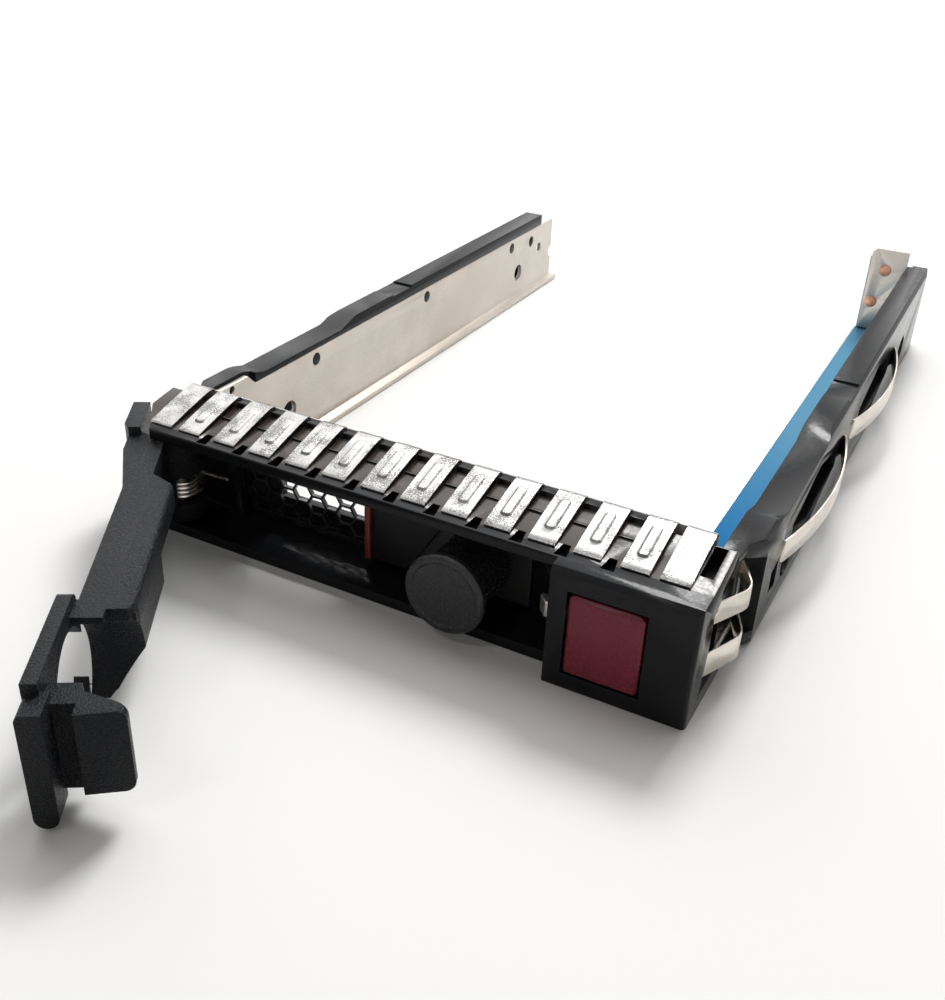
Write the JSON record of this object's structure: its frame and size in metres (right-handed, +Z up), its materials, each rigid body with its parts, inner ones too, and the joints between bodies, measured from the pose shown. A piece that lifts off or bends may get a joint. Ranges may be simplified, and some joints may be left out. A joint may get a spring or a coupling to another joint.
{
  "type": "hot swap drive caddy",
  "caption": "Carrier frame for a 2.5 inch drive with a swing-out ejector lever, a release button, side rails with leaf springs and a sprung metal contact comb.",
  "frame": {"origin": "middle of the bezel's underside, half of the bezel's depth behind its front face", "axes": "+X along the bezel to the right as seen from the front, +Y towards the connector end, +Z up"},
  "size_m": [0.0831, 0.172, 0.0173],
  "materials": {
    "black_plastic": "semi-gloss black moulding",
    "textured_plastic": "fine spark texture",
    "grey_plastic": "satin",
    "lens_plastic": "smoked, satin",
    "amber_plastic": "translucent red-brown",
    "maroon_plastic": "satin",
    "circuit_board": "solder mask",
    "blue_film": "polyimide film with blue coat",
    "contact_steel": "bright stainless sheet",
    "bright_steel": "zinc plated sheet",
    "spring_steel": "spring strip and wire",
    "dark_steel": "black coated sheet",
    "copper": "copper rivet"
  },
  "bodies": {
    "root": {"bezel_housing": "black_plastic", "honeycomb_screen": "dark_steel", "led_board": "circuit_board", "led_cover": "grey_plastic", "led_light_guide": "amber_plastic", "status_lens": "lens_plastic", "button_spring": "spring_steel", "lever_pivot_pin": "bright_steel", "lever_torsion_spring": "spring_steel", "emi_finger_strip": "contact_steel", "emi_side_clip": "contact_steel", "left_side_plate": "bright_steel", "right_side_plate": "bright_steel", "left_rail": "black_plastic", "right_rail": "black_plastic", "right_front_leaf_spring": "spring_steel", "left_front_leaf_spring": "spring_steel", "right_rear_leaf_spring": "spring_steel", "left_rear_leaf_spring": "spring_steel", "flex_ribbon": "blue_film", "contact_rivets": "copper"},
    "lever": {"ejector_lever": "textured_plastic"},
    "button": {"release_button": "maroon_plastic"},
    "latch": {"latch": "bright_steel"}
  },
  "joints": [
    {"name": "lever_hinge", "type": "hinge", "parent": "root", "child": "lever", "pos_m": [-0.0332, -0.0005, 0.0075], "axis": [0, 0, 1], "range_deg": [0, 57.6], "stiffness_Nm_per_rad": 0.01, "springref_deg": -17.19},
    {"name": "button_press", "type": "slide", "parent": "root", "child": "button", "axis": [0, 1, 0], "range_m": [0, 0.0015], "stiffness_N_per_m": 300, "springref_m": -0.001},
    {"name": "latch_slide", "type": "slide", "parent": "root", "child": "latch", "axis": [1, 0, 0], "range_m": [0, 0.0015]}
  ],
  "couplings": [
    {"joint": "latch_slide", "follows": "button_press", "ratio": 1}
  ]
}
